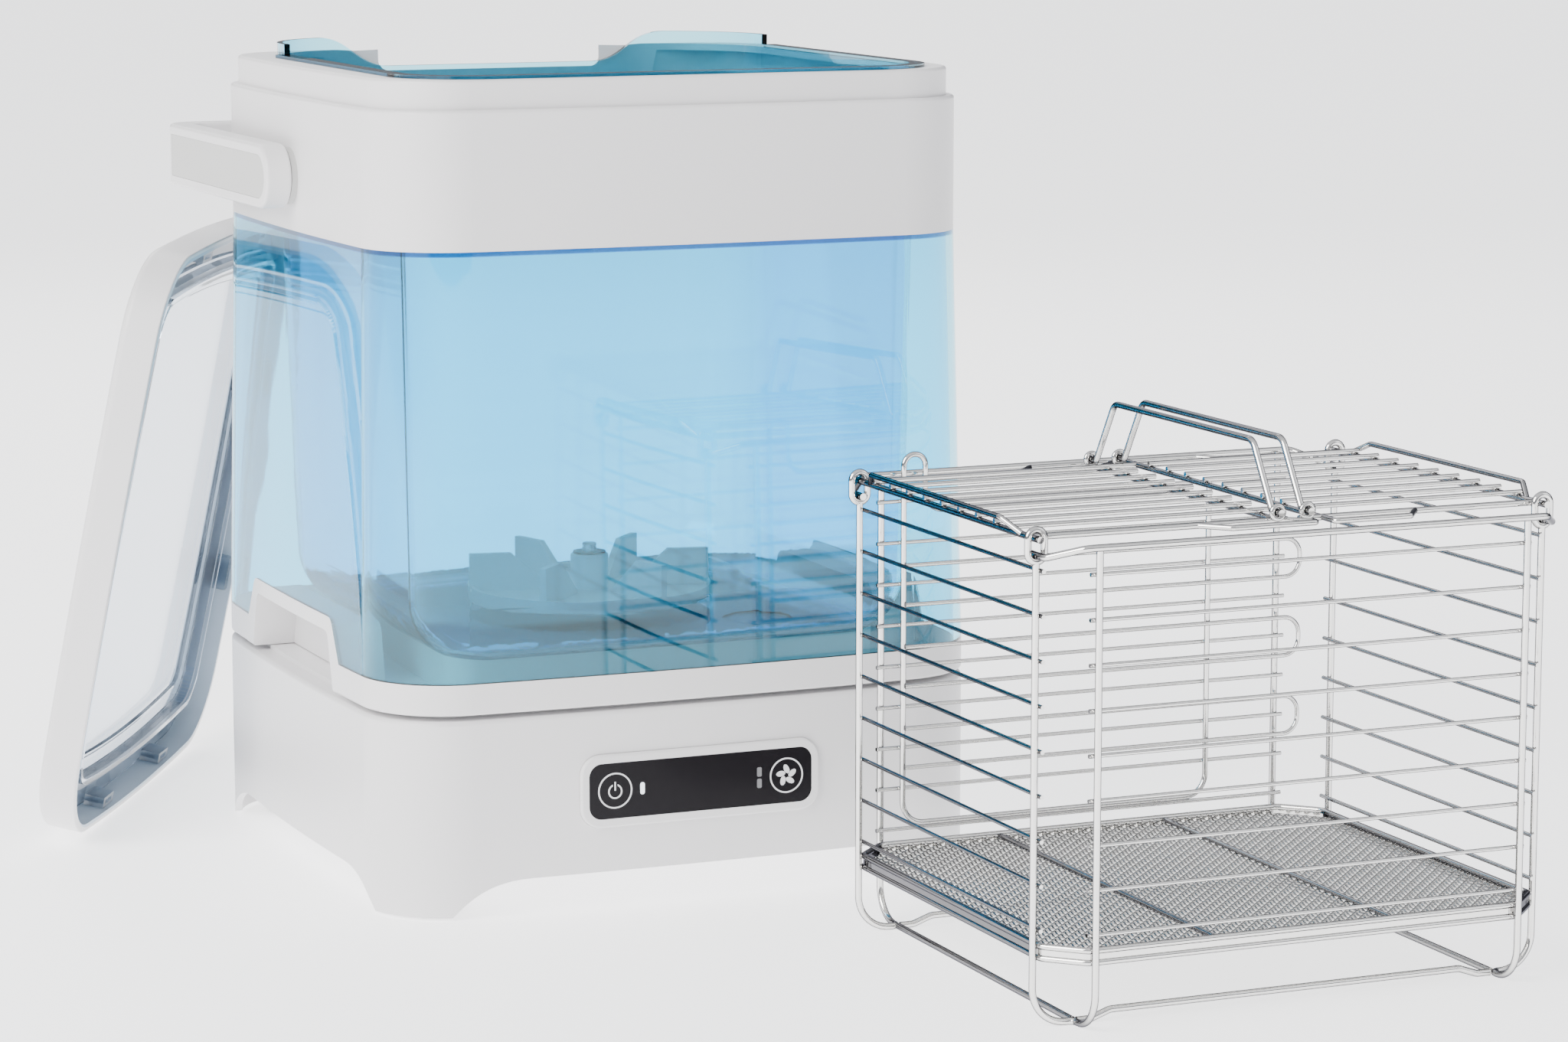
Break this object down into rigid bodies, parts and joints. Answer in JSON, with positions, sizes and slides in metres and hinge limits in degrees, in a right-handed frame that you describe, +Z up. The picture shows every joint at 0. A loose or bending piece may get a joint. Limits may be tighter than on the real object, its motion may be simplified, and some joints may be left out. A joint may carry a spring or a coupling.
{
  "type": "resin wash station",
  "caption": "Resin wash station: base with magnetic stirrer and touch panel, lift-off clear bucket with tub and carry handle, separate lid, and wire basket with two hinged top doors.",
  "frame": {"origin": "centre of the base unit's footprint on the surface it stands on", "axes": "+X to the right along the control panel face, +Y to the rear where the power inlet is, +Z up"},
  "size_m": [0.4242, 0.5714, 0.3005],
  "materials": {
    "white_plastic": "satin white",
    "blue_clear": "clear blue acrylic",
    "window_clear": "clear acrylic",
    "soft_seal": "matte silicone",
    "rubber": "matte",
    "panel_black": "gloss black",
    "panel_glass": "smoked gloss",
    "legend_grey": "printed",
    "lit_white": "lit bar",
    "board_green": "circuit board",
    "motor_steel": "plated",
    "screw_steel": "stainless",
    "magnet": "nickel plated",
    "jack_black": "matte",
    "washer_dark": "low-friction plastic",
    "inlay_grey": "matte grey",
    "basket_wire": "polished stainless wire",
    "basket_mesh": "woven stainless mesh"
  },
  "bodies": {
    "base": {"base_housing": "white_plastic", "bottom_tray": "white_plastic", "rubber_feet": "rubber", "base_screws": "screw_steel", "control_bezel": "panel_black", "control_glass": "panel_glass", "control_board": "board_green", "panel_legends": "legend_grey", "status_led": "lit_white", "speed_leds": "legend_grey", "drive_motor": "motor_steel", "motor_bracket": "motor_steel", "motor_screws": "screw_steel", "power_board": "board_green", "dc_jack": "jack_black"},
    "drive_rotor": {"motor_shaft": "screw_steel", "magnet_rotor": "motor_steel", "rotor_magnets": "magnet"},
    "bucket": {"bucket_skirt": "white_plastic", "outer_shell": "blue_clear", "tub_cradle": "white_plastic", "top_band": "white_plastic", "inner_tub": "blue_clear", "impeller_spindle": "screw_steel", "spindle_washer": "washer_dark", "spindle_nut": "screw_steel", "handle_pins": "white_plastic"},
    "stirrer": {"impeller": "white_plastic", "impeller_magnets": "magnet", "impeller_bush": "washer_dark"},
    "bail": {"carry_handle": "white_plastic", "handle_inlays": "inlay_grey"},
    "lid": {"lid_frame": "white_plastic", "lid_window": "window_clear", "lid_seal": "soft_seal", "lid_catches": "white_plastic"},
    "basket": {"corner_legs": "basket_wire", "top_rails": "basket_wire", "left_wires": "basket_wire", "right_wires": "basket_wire", "front_wires": "basket_wire", "rear_wires": "basket_wire", "foot_rails": "basket_wire", "floor_rim": "basket_wire", "rim_strip": "basket_wire", "floor_mesh": "basket_mesh", "floor_bars": "basket_wire", "hanging_frame": "basket_wire", "hanging_rungs": "basket_wire"},
    "left_door": {"left_door_frame": "basket_wire", "left_door_rods": "basket_wire"},
    "right_door": {"right_door_frame": "basket_wire", "right_door_rods": "basket_wire"},
    "left_grip": {"left_door_handle": "basket_wire"},
    "right_grip": {"right_door_handle": "basket_wire"}
  },
  "joints": [
    {"name": "bucket_lift", "type": "slide", "parent": "base", "child": "bucket", "axis": [0, 0, 1], "range_m": [0, 0.3]},
    {"name": "rotor_spin", "type": "hinge", "parent": "base", "child": "drive_rotor", "pos_m": [0, 0, 0.065], "axis": [0, 0, 1], "continuous": true},
    {"name": "impeller_spin", "type": "hinge", "parent": "bucket", "child": "stirrer", "pos_m": [0, 0, 0.095], "axis": [0, 0, 1], "continuous": true},
    {"name": "bail_hinge", "type": "hinge", "parent": "bucket", "child": "bail", "pos_m": [0, 0, 0.256], "axis": [1, 0, 0], "range_deg": [0, 180]},
    {"name": "lid_slide", "type": "slide", "parent": "base", "child": "lid", "axis": [-0.8669, 0.4985, 0], "range_m": [0, 0.25]},
    {"name": "basket_lift", "type": "slide", "parent": "base", "child": "basket", "axis": [0, 0, 1], "range_m": [0, 0.3]},
    {"name": "left_door_hinge", "type": "hinge", "parent": "basket", "child": "left_door", "pos_m": [0.032, -0.2485, 0.1596], "axis": [0, -1, 0], "range_deg": [0, 180]},
    {"name": "right_door_hinge", "type": "hinge", "parent": "basket", "child": "right_door", "pos_m": [0.2194, -0.2485, 0.1596], "axis": [0, 1, 0], "range_deg": [0, 180]},
    {"name": "left_grip_hinge", "type": "hinge", "parent": "left_door", "child": "left_grip", "pos_m": [0.1202, -0.2485, 0.1624], "axis": [0, -1, 0], "range_deg": [-8, 80]},
    {"name": "right_grip_hinge", "type": "hinge", "parent": "right_door", "child": "right_grip", "pos_m": [0.1312, -0.2485, 0.1624], "axis": [0, 1, 0], "range_deg": [-8, 80]}
  ],
  "couplings": [
    {"joint": "impeller_spin", "follows": "rotor_spin", "ratio": 1}
  ]
}
